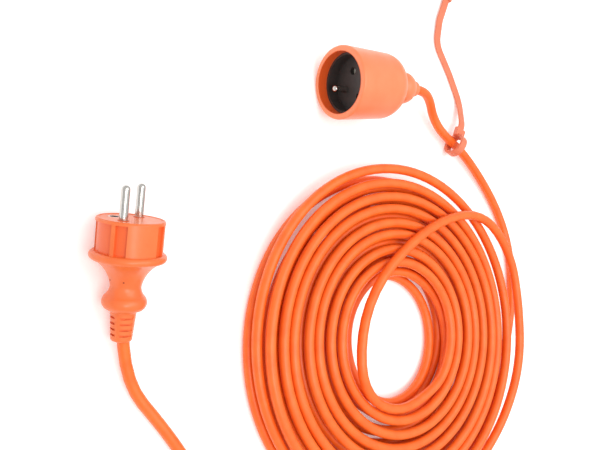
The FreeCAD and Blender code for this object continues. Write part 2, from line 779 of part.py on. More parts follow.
def cap_frame():
    points = strap_points()
    along = Vector(points[-1].x - points[-2].x, points[-1].y - points[-2].y, 0).normalize()
    reach = CAP_D / 2 + CAP_TAB_LENGTH - STRAP_SEAT + SEAT_GAP
    centre = Vector(points[-1].x, points[-1].y, 0) + along * reach
    return frame_from(centre, Vector(0, 0, 1), Vector(-along.y, along.x, 0))


def socket_cap():
    """Cap lying on its back: a disc with a spigot for the socket's mouth, and a tab that
    takes the strap's other end."""
    disc = rod(CAP_D / 2, 0, CAP_THICK)
    spigot = rod(CAP_SPIGOT_D / 2, CAP_THICK, CAP_THICK + CAP_SPIGOT_HEIGHT)
    hollow = rod(CAP_SPIGOT_D / 2 - CAP_SPIGOT_WALL, CAP_THICK, CAP_THICK + CAP_SPIGOT_HEIGHT)
    reach = CAP_D / 2 + CAP_TAB_LENGTH
    half = CAP_TAB_WIDTH / 2
    root = block(-CAP_D / 2 - 1, -CAP_SPIGOT_D / 2, -half, half, 0, CAP_THICK)
    tab = block(-reach, -CAP_D / 2 - CAP_CLEAR, -half, half, 0, CAP_TAB_THICK)
    slot = strap_slot(0, STRAP_SEAT)
    slot.Placement = frame_from(Vector(-reach, 0, CAP_TAB_THICK / 2), Vector(0, -1, 0), Vector(-1, 0, 0))
    cap = disc.fuse([spigot, root, tab]).cut(hollow).cut(slot).removeSplitter()
    cap.Placement = cap_frame()
    return cap


def report_tube(name, edges, radii, shape, radius):
    length = sum(edge.Length for edge in edges)
    ideal = math.pi * radius * radius * length
    listed = " ".join(f"{value:.0f}" for value in radii)
    print(f"{name}: length {length:.1f}, volume ratio {shape.Volume / ideal:.4f}, radii {listed}")
    return length


def main():
    os.makedirs("parts", exist_ok=True)
    plug = plug_frame()
    socket = socket_frame()
    nodes = {}
    placed = [
        (plug, "plug_body", plug_body()),
        (plug, "plug_bridge", plug_bridge()),
        (plug, "plug_pin_live", plug_pin(1)),
        (plug, "plug_pin_neutral", plug_pin(-1)),
        (plug, "plug_earth_sleeve", plug_sleeve()),
        (socket, "socket_body", socket_body()),
        (socket, "socket_insert", socket_insert()),
        (socket, "socket_carrier", socket_carrier()),
        (socket, "socket_earth_pin", socket_earth_pin()),
        (socket, "socket_contact_live", socket_contact(1)),
        (socket, "socket_contact_neutral", socket_contact(-1)),
        (socket, "socket_shutter", socket_shutter()),
        (socket, "socket_shutter_spring", shutter_spring()),
    ]
    for end, place, tail, jacket in (("plug", plug, plug_tail_z(), PLUG_JACKET_Z),
                                     ("socket", socket, socket_tail_z(), SOCKET_JACKET_Z)):
        for name, core in zip(("live", "neutral", "earth"), core_set(tail, jacket, CORE_R)):
            placed.append((place, f"{end}_core_{name}", core))
    for place, name, shape in placed:
        shape.Placement = place.multiply(shape.Placement)
        nodes[name] = shape
    total = 0.0
    for name, route in (("plug_cord", plug_route()), ("socket_cord", socket_route())):
        edges, radii = rounded_path(route)
        nodes[name] = swept(edges, CORD_R)
        total += report_tube(name, edges, radii, nodes[name], CORD_R)
    loops = coil_edges()
    nodes["cord_coil"] = swept(loops, CORD_R)
    total += report_tube("cord_coil", loops, [], nodes["cord_coil"], CORD_R)
    gap, place = least_self_gap(loops, CORD_D)
    print(f"coil's least gap to itself {gap:.2f} at {place}")
    print(f"whole cord {total:.0f} mm")
    nodes["tether_collar"] = tether_collar()
    nodes["tether_strap"] = tether_strap()
    nodes["socket_cap"] = socket_cap()
    box = FreeCAD.BoundBox()
    for name, shape in nodes.items():
        shape.translate(Vector(-ORIGIN_XY[0], -ORIGIN_XY[1], 0))
        box.add(shape.optimalBoundingBox())
        solids = len(shape.Solids)
        low = shape.optimalBoundingBox().ZMin
        print(f"{name}: {solids} solid, valid {shape.isValid()}, volume {shape.Volume:.0f}, low {low:.2f}")
        shape.exportStep(f"parts/{name}.step")
    print("box", box)


main()
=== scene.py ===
import math

import bpy
from mathutils import Matrix, Vector


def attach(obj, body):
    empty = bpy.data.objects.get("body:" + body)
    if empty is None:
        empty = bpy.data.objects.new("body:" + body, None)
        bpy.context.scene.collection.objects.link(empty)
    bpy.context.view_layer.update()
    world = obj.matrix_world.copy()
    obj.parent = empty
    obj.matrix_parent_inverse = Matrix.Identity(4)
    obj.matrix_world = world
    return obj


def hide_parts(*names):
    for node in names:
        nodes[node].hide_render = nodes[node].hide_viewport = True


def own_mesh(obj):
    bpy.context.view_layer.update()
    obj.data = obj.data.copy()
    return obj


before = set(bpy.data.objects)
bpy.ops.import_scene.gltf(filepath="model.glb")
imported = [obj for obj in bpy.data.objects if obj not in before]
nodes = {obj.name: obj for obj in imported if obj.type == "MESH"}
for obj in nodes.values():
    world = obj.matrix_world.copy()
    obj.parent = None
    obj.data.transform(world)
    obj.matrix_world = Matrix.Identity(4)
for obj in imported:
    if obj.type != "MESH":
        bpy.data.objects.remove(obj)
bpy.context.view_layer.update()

scene = bpy.context.scene


# ---------------------------------------------------------------------------------------
# The view, the surface and the light
# The cord set lies on a white table under a broad soft light, and the camera looks down on
# it from the plug's side, turned so that the plug's pins point up in the picture. The
# table glows a little, which fills the undersides.

CAMERA_PLACE = Vector((0.01157, -0.31671, 0.37730))
CAMERA_YAW = math.radians(-1.64)
CAMERA_PITCH = math.radians(53.18)
CAMERA_ROLL = math.radians(-7.2)
SENSOR_WIDTH = 36.0
FOCAL_LENGTH = 41.46

ahead = Vector((
    math.sin(CAMERA_YAW) * math.cos(CAMERA_PITCH),
    math.cos(CAMERA_YAW) * math.cos(CAMERA_PITCH),
    -math.sin(CAMERA_PITCH),
))
level_down = Vector((math.cos(CAMERA_YAW), -math.sin(CAMERA_YAW), 0))
level_right = level_down.cross(ahead)
picture_down = level_down * math.cos(CAMERA_ROLL) + level_right * math.sin(CAMERA_ROLL)
picture_right = picture_down.cross(ahead)
camera_data = bpy.data.cameras.new("camera")
camera_data.sensor_width = SENSOR_WIDTH
camera_data.lens = FOCAL_LENGTH
camera = bpy.data.objects.new("camera", camera_data)
camera.matrix_world = Matrix.Translation(CAMERA_PLACE) @ Matrix(
    (picture_right, -picture_down, -ahead)
).transposed().to_4x4()
scene.collection.objects.link(camera)
scene.camera = camera
scene.view_settings.view_transform = "Standard"


def plain_material(name):
    """A new material with its nodes, its links and its Principled shader."""
    made = bpy.data.materials.new(name)
    made.use_nodes = True
    tree = made.node_tree
    return made, tree.nodes, tree.links, tree.nodes["Principled BSDF"]


TABLE_REACH = 4.0
TABLE_HEIGHT = -0.0004

table_material, _, _, skin = plain_material("white_table")
skin.inputs["Base Color"].default_value = (0.93, 0.93, 0.93, 1)
skin.inputs["Roughness"].default_value = 0.75
skin.inputs["Emission Color"].default_value = (1.0, 1.0, 1.0, 1)
skin.inputs["Emission Strength"].default_value = 0.22
table_mesh = bpy.data.meshes.new("table")
table_mesh.from_pydata(
    [(TABLE_REACH * x, TABLE_REACH * y, TABLE_HEIGHT)
     for x, y in ((-1, -1), (1, -1), (1, 1), (-1, 1))],
    [], [(0, 1, 2, 3)],
)
table = bpy.data.objects.new("table", table_mesh)
table_mesh.materials.append(table_material)
scene.collection.objects.link(table)

SKY_STRENGTH = 0.88
SKY_LOW = (0.62, 0.62, 0.63, 1)
SKY_HIGH = (1.0, 1.0, 1.0, 1)
FADE_START = 0.05
FADE_END = 0.55

world = bpy.data.worlds.new("studio")
world.use_nodes = True
sky = world.node_tree.nodes
heading = sky.new("ShaderNodeTexCoord")
height = sky.new("ShaderNodeSeparateXYZ")
fade = sky.new("ShaderNodeMapRange")
fade.inputs["From Min"].default_value = FADE_START
fade.inputs["From Max"].default_value = FADE_END
tones = sky.new("ShaderNodeMix")
tones.data_type = "RGBA"
tones.inputs["A"].default_value = SKY_LOW
tones.inputs["B"].default_value = SKY_HIGH
sky["Background"].inputs["Strength"].default_value = SKY_STRENGTH
for start, end in (
    (heading.outputs["Generated"], height.inputs["Vector"]),
    (height.outputs["Z"], fade.inputs["Value"]),
    (fade.outputs["Result"], tones.inputs["Factor"]),
    (tones.outputs["Result"], sky["Background"].inputs["Color"]),
):
    world.node_tree.links.new(start, end)
scene.world = world


def soft_light(name, place, aim, side, power):
    """A square panel of light."""
    data = bpy.data.lights.new(name, "AREA")
    data.size = side
    data.energy = power
    lamp = bpy.data.objects.new(name, data)
    lamp.location = place
    lamp.rotation_mode = "QUATERNION"
    lamp.rotation_quaternion = (Vector(aim) - Vector(place)).to_track_quat("-Z", "Y")
    scene.collection.objects.link(lamp)


soft_light("overhead", place=(-0.05, 0.25, 1.20), aim=(0.0, 0.0, 0.0), side=1.0, power=6.0)
soft_light("front", place=(0.25, -0.35, 1.00), aim=(-0.05, -0.1, 0.0), side=0.35, power=2.5)


# ---------------------------------------------------------------------------------------
# Cord
# Round three-core mains cord, 7 mm over its extruded orange PVC jacket, and moulded fast
# into socket and plug. It runs out of the socket's knob, through three layers of loops and
# one loop slid across them, and into the plug's relief.

CORD_DIAMETER = 0.007
CORD_RADIUS = CORD_DIAMETER / 2
SOCKET_SIDE = [
    (-0.0899, 0.0620, 0.0218), (-0.0899, 0.0782, 0.0210), (-0.0843, 0.0922, 0.0149),
    (-0.0724, 0.1012, 0.0080), (-0.0589, 0.1109, 0.0072), (-0.0424, 0.1374, 0.0062),
    (-0.0005, 0.1728, 0.0035), (0.0395, 0.1862, 0.0035), (0.0796, 0.1831, 0.0035),
    (0.1156, 0.1706, 0.0035), (0.1474, 0.1498, 0.0035),
]
PLUG_SIDE = [
    (0.2038, -0.0363, 0.0035), (0.1946, -0.0558, 0.0035), (0.1822, -0.0846, 0.0035),
    (0.1671, -0.1111, 0.0035), (0.1451, -0.1324, 0.0035), (0.1168, -0.1470, 0.0035),
    (0.0772, -0.1733, 0.0035), (0.0389, -0.1700, 0.0135),
]
COIL_CENTRE = Vector((0.09157, 0.03309, 0))
COIL_OUTER = 0.122
COIL_INNER = (0.043, 0.047)
COIL_START = math.radians(45)
COIL_TURNS = (7.11, 7.40, 7.836)
LAYER_STEP = 0.0076
CLIMB_TURNS = 0.5
SLID_LOOP_STARTS = 0.25
POINTS_PER_TURN = 16
WANDER = 0.0016
WANDER_PER_TURN = 0.41
WANDER_START = 1.13
RIPPLE = 0.0003
RIPPLE_PER_TURN = 1.61
RIPPLE_START = 1.0
DRIFT = 0.0006
DRIFT_PER_TURN = 0.21
DRIFT_START = 4.48
CALMER = (0.1, 0.2, 0.0)
SETTLE_TURNS = 5.0
SETTLED = 0.4
LAYER_SHIFT = [
    Vector((0.0005, -0.0030)), Vector((0.0016, 0.0010)), Vector((-0.0012, -0.0010)),
]
SLID_LOOP = [
    (0.1437, 0.0184, 0.0187), (0.1151, -0.0202, 0.0263), (0.0539, -0.0038, 0.0263),
    (0.0123, 0.0623, 0.0265), (0.0047, 0.1247, 0.0262), (0.0401, 0.1563, 0.0264),
    (0.0866, 0.1628, 0.0244), (0.1331, 0.1595, 0.0219), (0.1719, 0.1387, 0.0181),
    (0.2005, 0.1088, 0.0133), (0.2175, 0.0736, 0.0094), (0.2238, 0.0376, 0.0066),
    (0.2207, 0.0086, 0.0046), (0.2149, -0.0124, 0.0035),
]


def loop_point(turns):
    """A control point of the piled loops, which go round clockwise from the outside in,
    out again and in once more, a layer higher each time. They wander as they go, and the
    last few turns settle."""
    spans = [
        (COIL_OUTER, COIL_INNER[0]), (COIL_INNER[0], COIL_OUTER), (COIL_OUTER, COIL_INNER[1]),
    ]
    top = len(COIL_TURNS) - 1
    begun = 0.0
    for layer, (count, (first, last)) in enumerate(zip(COIL_TURNS, spans)):
        if turns <= begun + count or layer == top:
            radius = first + (last - first) * min((turns - begun) / count, 1.0)
            break
        begun += count
    height, loose, shift = 0.0, 1.0, LAYER_SHIFT[0]
    for layer in range(len(COIL_TURNS)):
        climb = (turns - sum(COIL_TURNS[:layer + 1]) + CLIMB_TURNS / 2) / CLIMB_TURNS
        climb = max(0.0, min(1.0, climb))
        climb *= climb * (3 - 2 * climb)
        height += LAYER_STEP * climb
        loose -= CALMER[layer] * climb
        shift = shift.lerp(LAYER_SHIFT[min(layer + 1, top)], climb)
    left = (sum(COIL_TURNS) - turns) / SETTLE_TURNS
    loose *= SETTLED + (1 - SETTLED) * min(1.0, left)
    radius += loose * WANDER * math.sin(2 * math.pi * WANDER_PER_TURN * turns + WANDER_START)
    radius += loose * RIPPLE * math.sin(2 * math.pi * RIPPLE_PER_TURN * turns + RIPPLE_START)
    radius /= math.cos(math.pi / POINTS_PER_TURN)
    slide = loose * DRIFT * math.sin(2 * math.pi * DRIFT_PER_TURN * turns + DRIFT_START)
    angle = COIL_START - 2 * math.pi * turns
    return COIL_CENTRE + Vector((
        shift.x + slide + radius * math.cos(angle),
        shift.y - slide / 2 + radius * math.sin(angle),
        CORD_RADIUS + height,
    ))


loop_count = int((sum(COIL_TURNS) - SLID_LOOP_STARTS) * POINTS_PER_TURN)
cord_points = [Vector(p) for p in SOCKET_SIDE]
cord_points += [loop_point((step + 0.5) / POINTS_PER_TURN) for step in range(loop_count)]
cord_points += [Vector(p) for p in SLID_LOOP + PLUG_SIDE]

cord_curve = bpy.data.curves.new("cord", "CURVE")
cord_curve.dimensions = "3D"
cord_line = cord_curve.splines.new("NURBS")
cord_line.points.add(len(cord_points) - 1)
for spot, place in zip(cord_line.points, cord_points):
    spot.co = (*place, 1)
cord_line.order_u = 3
cord_line.use_endpoint_u = True
cord_line.resolution_u = 6
cord_curve.bevel_depth = CORD_RADIUS
cord_curve.bevel_resolution = 4
cord_curve.use_fill_caps = True
cord = bpy.data.objects.new("cord", cord_curve)
scene.collection.objects.link(cord)


def add_socket(group, direction, kind, name, default=None):
    made = group.interface.new_socket(name=name, in_out=direction, socket_type=kind)
    if default is not None:
        made.default_value = default


def pvc_skin_group():
    """Colour, roughness and surface normal of moulded or extruded PVC: faint mottling of
    the dye and a fine grain."""
    group = bpy.data.node_groups.new("pvc_skin", "ShaderNodeTree")
    add_socket(group, "INPUT", "NodeSocketColor", "Dye", (0.9, 0.2, 0.03, 1))
    add_socket(group, "INPUT", "NodeSocketColor", "Deep Dye", (0.8, 0.12, 0.01, 1))
    add_socket(group, "INPUT", "NodeSocketFloat", "Mottle Scale", 120.0)
    add_socket(group, "INPUT", "NodeSocketFloat", "Gloss", 0.35)
    add_socket(group, "INPUT", "NodeSocketFloat", "Gloss Spread", 0.08)
    add_socket(group, "INPUT", "NodeSocketFloat", "Grain Scale", 2500.0)
    add_socket(group, "INPUT", "NodeSocketFloat", "Grain Depth", 0.00002)
    add_socket(group, "OUTPUT", "NodeSocketColor", "Colour")
    add_socket(group, "OUTPUT", "NodeSocketFloat", "Roughness")
    add_socket(group, "OUTPUT", "NodeSocketVector", "Normal")
    made, link = group.nodes, group.links
    given = made.new("NodeGroupInput")
    out = made.new("NodeGroupOutput")
    place = made.new("ShaderNodeTexCoord")
    mottle = made.new("ShaderNodeTexNoise")
    mottle.inputs["Detail"].default_value = 3
    link.new(place.outputs["Object"], mottle.inputs["Vector"])
    link.new(given.outputs["Mottle Scale"], mottle.inputs["Scale"])
    blend = made.new("ShaderNodeMix")
    blend.data_type = "RGBA"
    spread = made.new("ShaderNodeMapRange")
    spread.inputs["From Min"].default_value = 0.3
    spread.inputs["From Max"].default_value = 0.7
    link.new(mottle.outputs["Fac"], spread.inputs["Value"])
    link.new(spread.outputs["Result"], blend.inputs["Factor"])
    link.new(given.outputs["Dye"], blend.inputs["A"])
    link.new(given.outputs["Deep Dye"], blend.inputs["B"])
    link.new(blend.outputs["Result"], out.inputs["Colour"])
    rough = made.new("ShaderNodeMath")
    rough.operation = "MULTIPLY_ADD"
    link.new(mottle.outputs["Fac"], rough.inputs[0])
    link.new(given.outputs["Gloss Spread"], rough.inputs[1])
    link.new(given.outputs["Gloss"], rough.inputs[2])
    link.new(rough.outputs["Value"], out.inputs["Roughness"])
    grain = made.new("ShaderNodeTexNoise")
    grain.inputs["Detail"].default_value = 2
    link.new(place.outputs["Object"], grain.inputs["Vector"])
    link.new(given.outputs["Grain Scale"], grain.inputs["Scale"])
    bump = made.new("ShaderNodeBump")
    bump.inputs["Strength"].default_value = 1.0
    link.new(grain.outputs["Fac"], bump.inputs["Height"])
    link.new(given.outputs["Grain Depth"], bump.inputs["Distance"])
    link.new(bump.outputs["Normal"], out.inputs["Normal"])
    return group


pvc_skin = pvc_skin_group()


def pvc_material(name, dye, deep, gloss, spread=0.08, mottle=120.0, grain=2500.0):
    made, tree_nodes, tree_links, skin = plain_material(name)
    surface = tree_nodes.new("ShaderNodeGroup")
    surface.node_tree = pvc_skin
    surface.inputs["Dye"].default_value = (*dye, 1)
    surface.inputs["Deep Dye"].default_value = (*deep, 1)
    surface.inputs["Mottle Scale"].default_value = mottle
    surface.inputs["Gloss"].default_value = gloss
    surface.inputs["Gloss Spread"].default_value = spread
    surface.inputs["Grain Scale"].default_value = grain
    tree_links.new(surface.outputs["Colour"], skin.inputs["Base Color"])
    tree_links.new(surface.outputs["Roughness"], skin.inputs["Roughness"])
    tree_links.new(surface.outputs["Normal"], skin.inputs["Normal"])
    return made


jacket = pvc_material(
    "orange_jacket", dye=(0.95, 0.165, 0.018), deep=(0.90, 0.130, 0.010), gloss=0.33
)
cord_curve.materials.append(jacket)
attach(cord, "cord_set")
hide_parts("plug_cord", "socket_cord", "cord_coil")


# ---------------------------------------------------------------------------------------
# Plug
# Earthed plug with two round pins and an earth hole, moulded over its core and the cord in
# one shot of orange PVC. Its side is recessed in panels, whose floors are coloured darker as
# painted shade, and the relief is slotted so that it bends with the cord. A rim, a seat round
# each pin and two vent marks are moulded on; the seats are coloured darker as painted shade at
# the pins' feet, and the vent marks are dark discs of painted shade that stand for two small
# holes.

PLUG_PLACE = Vector((-0.00743, -0.16591, 0.025487))
PLUG_X = Vector((0.102130, -0.754919, 0.647817))
PLUG_Y = Vector((0.243679, 0.650367, 0.719474))
PLUG_Z = Vector((-0.964464, 0.084380, 0.250380))
FACE_RIM_RADIUS = 0.0177
FACE_RIM_BREADTH = 0.0011
FACE_RIM_RISE = 0.0006
FACE_RIM_EDGE = 0.00025
PIN_RADIUS = 0.0024
PIN_REACH = 0.0095
PIN_SEAT_BREADTH = 0.0007
PIN_SEAT_RISE = 0.0005
PIN_SEAT_EDGE = 0.0002
PIN_SEAT_GAP = 0.00005
VENT_ANGLE = math.radians(-37.4)
VENT_STEP = math.radians(55.7)
VENT_RADIUS = 0.00042
VENT_DEPTH = 0.0003
VENT_HEIGHT = -0.0333
VENT_SIDES = 20
LOOK_FROM = 0.05
RING_CORNERS = 96
BEND_STEPS = 10
EDGE_STEPS = 3
CREASE_ANGLE = math.radians(50)
PANEL_RADIUS = 0.0179
PANEL_FRONT = -0.0014
PANEL_BACK = -0.0184
# Painted shade: the floors of the recessed side panels are coloured darker for the shade that
# falls in them.
PANEL_PAINTED_SHADE = (0.82, 0.125, 0.022, 1)
SHADE_CRISPNESS = 2500.0


def part_place(origin, x_axis, y_axis, z_axis):
    return Matrix.Translation(origin) @ Matrix((x_axis, y_axis, z_axis)).transposed().to_4x4()


def geometry_tree(name, sizes):
    """An empty tree with geometry in and out, the named sizes and a finish."""
    tree = bpy.data.node_groups.new(name, "GeometryNodeTree")
    tree.interface.new_socket(name="Geometry", in_out="INPUT", socket_type="NodeSocketGeometry")
    for size, kind in sizes:
        tree.interface.new_socket(name=size, in_out="INPUT", socket_type=kind)
    tree.interface.new_socket(name="Finish", in_out="INPUT", socket_type="NodeSocketMaterial")
    tree.interface.new_socket(name="Geometry", in_out="OUTPUT", socket_type="NodeSocketGeometry")
    return tree, tree.nodes.new("NodeGroupInput"), tree.nodes.new("NodeGroupOutput")


def finish_tree(tree, given, out, shape):
    realize = tree.nodes.new("GeometryNodeRealizeInstances")
    dress = tree.nodes.new("GeometryNodeSetMaterial")
    tree.links.new(shape, realize.inputs["Geometry"])
    tree.links.new(realize.outputs["Geometry"], dress.inputs["Geometry"])
    tree.links.new(given.outputs["Finish"], dress.inputs["Material"])
    tree.links.new(dress.outputs["Geometry"], out.inputs["Geometry"])


def strip_tree():
    """A strip of moulding that follows the given line: Breadth lies level across it, Rise
    stands along Z, and its four edges are rounded."""
    tree, given, out = geometry_tree("moulded_strip", [
        ("Breadth", "NodeSocketFloat"), ("Rise", "NodeSocketFloat"),
        ("Edge", "NodeSocketFloat"), ("Bend", "NodeSocketFloat"),
    ])
    link = tree.links
    line = tree.nodes.new("GeometryNodeMeshToCurve")
    bend = tree.nodes.new("GeometryNodeFilletCurve")
    bend.mode = "POLY"
    bend.inputs["Count"].default_value = BEND_STEPS
    bend.inputs["Limit Radius"].default_value = True
    level = tree.nodes.new("GeometryNodeSetCurveNormal")
    level.mode = "Z_UP"
    section = tree.nodes.new("GeometryNodeCurvePrimitiveQuadrilateral")
    soften = tree.nodes.new("GeometryNodeFilletCurve")
    soften.mode = "POLY"
    soften.inputs["Count"].default_value = EDGE_STEPS
    soften.inputs["Limit Radius"].default_value = True
    sweep = tree.nodes.new("GeometryNodeCurveToMesh")
    sweep.inputs["Fill Caps"].default_value = True
    link.new(given.outputs["Geometry"], line.inputs["Mesh"])
    link.new(line.outputs["Curve"], bend.inputs["Curve"])
    link.new(given.outputs["Bend"], bend.inputs["Radius"])
    link.new(bend.outputs["Curve"], level.inputs["Curve"])
    link.new(given.outputs["Breadth"], section.inputs["Width"])
    link.new(given.outputs["Rise"], section.inputs["Height"])
    link.new(section.outputs["Curve"], soften.inputs["Curve"])
    link.new(given.outputs["Edge"], soften.inputs["Radius"])
    link.new(level.outputs["Curve"], sweep.inputs["Curve"])
    link.new(soften.outputs["Curve"], sweep.inputs["Profile Curve"])
    finish_tree(tree, given, out, sweep.outputs["Mesh"])
    return tree


def vent_tree():
    """Small round vent marks set side by side round a neck."""
    tree, given, out = geometry_tree("vent_marks", [
        ("Marks", "NodeSocketInt"), ("Neck Radius", "NodeSocketFloat"),
        ("First Angle", "NodeSocketFloat"), ("Step", "NodeSocketFloat"),
        ("Mark Radius", "NodeSocketFloat"), ("Mark Depth", "NodeSocketFloat"),
    ])
    link = tree.links
    dots = tree.nodes.new("GeometryNodePoints")
    order = tree.nodes.new("GeometryNodeInputIndex")
    angle = tree.nodes.new("ShaderNodeMath")
    angle.operation = "MULTIPLY_ADD"
    turn = tree.nodes.new("ShaderNodeCombineXYZ")
    place = tree.nodes.new("ShaderNodeVectorRotate")
    place.rotation_type = "EULER_XYZ"
    reach = tree.nodes.new("ShaderNodeCombineXYZ")
    settle = tree.nodes.new("GeometryNodeSetPosition")
    face = tree.nodes.new("FunctionNodeAlignRotationToVector")
    face.axis = "Z"
    mark = tree.nodes.new("GeometryNodeMeshCylinder")
    mark.inputs["Vertices"].default_value = VENT_SIDES
    spread = tree.nodes.new("GeometryNodeInstanceOnPoints")
    link.new(given.outputs["Marks"], dots.inputs["Count"])
    link.new(order.outputs["Index"], angle.inputs[0])
    link.new(given.outputs["Step"], angle.inputs[1])
    link.new(given.outputs["First Angle"], angle.inputs[2])
    link.new(angle.outputs["Value"], turn.inputs["Z"])
    link.new(given.outputs["Neck Radius"], reach.inputs["X"])
    link.new(reach.outputs["Vector"], place.inputs["Vector"])
    link.new(turn.outputs["Vector"], place.inputs["Rotation"])
    link.new(dots.outputs["Geometry"], settle.inputs["Geometry"])
    link.new(place.outputs["Vector"], settle.inputs["Position"])
    link.new(place.outputs["Vector"], face.inputs["Vector"])
    link.new(given.outputs["Mark Radius"], mark.inputs["Radius"])
    link.new(given.outputs["Mark Depth"], mark.inputs["Depth"])
    link.new(settle.outputs["Geometry"], spread.inputs["Points"])
    link.new(mark.outputs["Mesh"], spread.inputs["Instance"])
    link.new(face.outputs["Rotation"], spread.inputs["Rotation"])
    finish_tree(tree, given, out, spread.outputs["Instances"])
    return tree


def grown(name, tree, sizes, finish, line=(), closed=False, place=Matrix()):
    """The plain mesh that a tree makes from a line of points, put in its place."""
    seed = bpy.data.meshes.new(name + "_line")
    edges = [(k, k + 1) for k in range(len(line) - 1)]
    if closed:
        edges.append((len(line) - 1, 0))
    seed.from_pydata([tuple(p) for p in line], edges, [])
    grower = bpy.data.objects.new(name + "_line", seed)
    scene.collection.objects.link(grower)
    modifier = grower.modifiers.new("shape", "NODES")
    modifier.node_group = tree
    values = dict(sizes, Finish=finish)
    for item in tree.interface.items_tree:
        if item.in_out == "INPUT" and item.name in values:
            modifier[item.identifier] = values[item.name]
    whole = grower.evaluated_get(bpy.context.evaluated_depsgraph_get())
    mesh = bpy.data.meshes.new_from_object(whole)
    bpy.data.objects.remove(grower)
    mesh.name = name
    mesh.transform(place)
    mesh.shade_smooth()
    mesh.set_sharp_from_angle(angle=CREASE_ANGLE)
    made = bpy.data.objects.new(name, mesh)
    scene.collection.objects.link(made)
    return made


def ring_line(radius, aside=0.0):
    """Points round a circle that lies flat, its centre moved aside along X."""
    corners = [2 * math.pi * k / RING_CORNERS for k in range(RING_CORNERS)]
    return [(aside + radius * math.cos(a), radius * math.sin(a), 0.0) for a in corners]


def dress(material, *names):
    """Gives the named CAD pieces their material."""
    for name in names:
        nodes[name].data.materials.clear()
        nodes[name].data.materials.append(material)


moulding = pvc_material(
    "orange_moulding", dye=(0.86, 0.178, 0.042), deep=(0.81, 0.152, 0.032), gloss=0.28,
    spread=0.10, mottle=90.0, grain=1800.0,
)
dress(moulding, "plug_body")


def inside_turned_shape_group():
    """Mask of what lies nearer than Radius to a part's own axis, between two heights on it:
    the floors of recesses, where shade is painted into the moulding's colour."""
    group = bpy.data.node_groups.new("inside_turned_shape", "ShaderNodeTree")
    for name in ("Place", "Turn"):
        add_socket(group, "INPUT", "NodeSocketVector", name)
    for name in ("Radius", "Front", "Back", "Crispness"):
        add_socket(group, "INPUT", "NodeSocketFloat", name)
    add_socket(group, "OUTPUT", "NodeSocketFloat", "Mask")
    made, link = group.nodes, group.links
    given = made.new("NodeGroupInput")
    out = made.new("NodeGroupOutput")
    where = made.new("ShaderNodeTexCoord")
    own = made.new("ShaderNodeMapping")
    own.vector_type = "TEXTURE"
    flat = made.new("ShaderNodeVectorMath")
    flat.operation = "MULTIPLY"
    flat.inputs[1].default_value = (1, 1, 0)
    reach = made.new("ShaderNodeVectorMath")
    reach.operation = "LENGTH"
    height = made.new("ShaderNodeSeparateXYZ")
    link.new(where.outputs["Object"], own.inputs["Vector"])
    link.new(given.outputs["Place"], own.inputs["Location"])
    link.new(given.outputs["Turn"], own.inputs["Rotation"])
    link.new(own.outputs["Vector"], flat.inputs[0])
    link.new(flat.outputs["Vector"], reach.inputs[0])
    link.new(own.outputs["Vector"], height.inputs["Vector"])
    total = None
    for larger, smaller in (
        (given.outputs["Radius"], reach.outputs["Value"]),
        (given.outputs["Front"], height.outputs["Z"]),
        (height.outputs["Z"], given.outputs["Back"]),
    ):
        within = made.new("ShaderNodeMath")
        within.operation = "SUBTRACT"
        link.new(larger, within.inputs[0])
        link.new(smaller, within.inputs[1])
        limit = made.new("ShaderNodeMath")
        limit.operation = "MULTIPLY_ADD"
        limit.use_clamp = True
        limit.inputs[2].default_value = 0.5
        link.new(within.outputs["Value"], limit.inputs[0])
        link.new(given.outputs["Crispness"], limit.inputs[1])
        if total:
            both = made.new("ShaderNodeMath")
            both.operation = "MULTIPLY"
            link.new(total, both.inputs[0])
            link.new(limit.outputs["Value"], both.inputs[1])
            total = both.outputs["Value"]
        else:
            total = limit.outputs["Value"]
    link.new(total, out.inputs["Mask"])
    return group


inside_turned_shape = inside_turned_shape_group()


def paint_recess_shade(material, place, radius, front, back, shade):
    """Paints shade into a moulding's colour inside its recesses, as a darker tone."""
    made, link = material.node_tree.nodes, material.node_tree.links
    mask = made.new("ShaderNodeGroup")
    mask.node_tree = inside_turned_shape
    mask.inputs["Place"].default_value = place.to_translation()
    mask.inputs["Turn"].default_value = place.to_euler()
    mask.inputs["Radius"].default_value = radius
    mask.inputs["Front"].default_value = front
    mask.inputs["Back"].default_value = back
    mask.inputs["Crispness"].default_value = SHADE_CRISPNESS
    recess_shade_mix = made.new("ShaderNodeMix")
    recess_shade_mix.data_type = "RGBA"
    recess_shade_mix.inputs["B"].default_value = shade
    link.new(mask.outputs["Mask"], recess_shade_mix.inputs["Factor"])
    link.new(made["Group"].outputs["Colour"], recess_shade_mix.inputs["A"])
    link.new(recess_shade_mix.outputs["Result"], made["Principled BSDF"].inputs["Base Color"])


strip = strip_tree()
plug_place = part_place(PLUG_PLACE, PLUG_X, PLUG_Y, PLUG_Z)
# The plug's recessed panels get painted shade.
paint_recess_shade(moulding, plug_place, PANEL_RADIUS, PANEL_FRONT, PANEL_BACK, PANEL_PAINTED_SHADE)
face_rim = grown(
    "plug_face_rim", strip,
    {"Breadth": FACE_RIM_BREADTH, "Rise": FACE_RIM_RISE, "Edge": FACE_RIM_EDGE, "Bend": 0.0},
    moulding, ring_line(FACE_RIM_RADIUS), closed=True, place=plug_place,
)
# Painted shade: the raised seats round the pins' feet are coloured darker for the shade there.
pin_seat_painted_shade = pvc_material(
    "pin_seat", dye=(0.80, 0.105, 0.012), deep=(0.72, 0.085, 0.010), gloss=0.4
)
pin_seats = [
    grown(
        "plug_pin_seat_" + side, strip,
        {"Breadth": PIN_SEAT_BREADTH, "Rise": PIN_SEAT_RISE, "Edge": PIN_SEAT_EDGE, "Bend": 0.0},
        pin_seat_painted_shade, ring_line(PIN_RADIUS + PIN_SEAT_BREADTH / 2 + PIN_SEAT_GAP, reach),
        closed=True, place=plug_place,
    )
    for side, reach in (("live", PIN_REACH), ("neutral", -PIN_REACH))
]
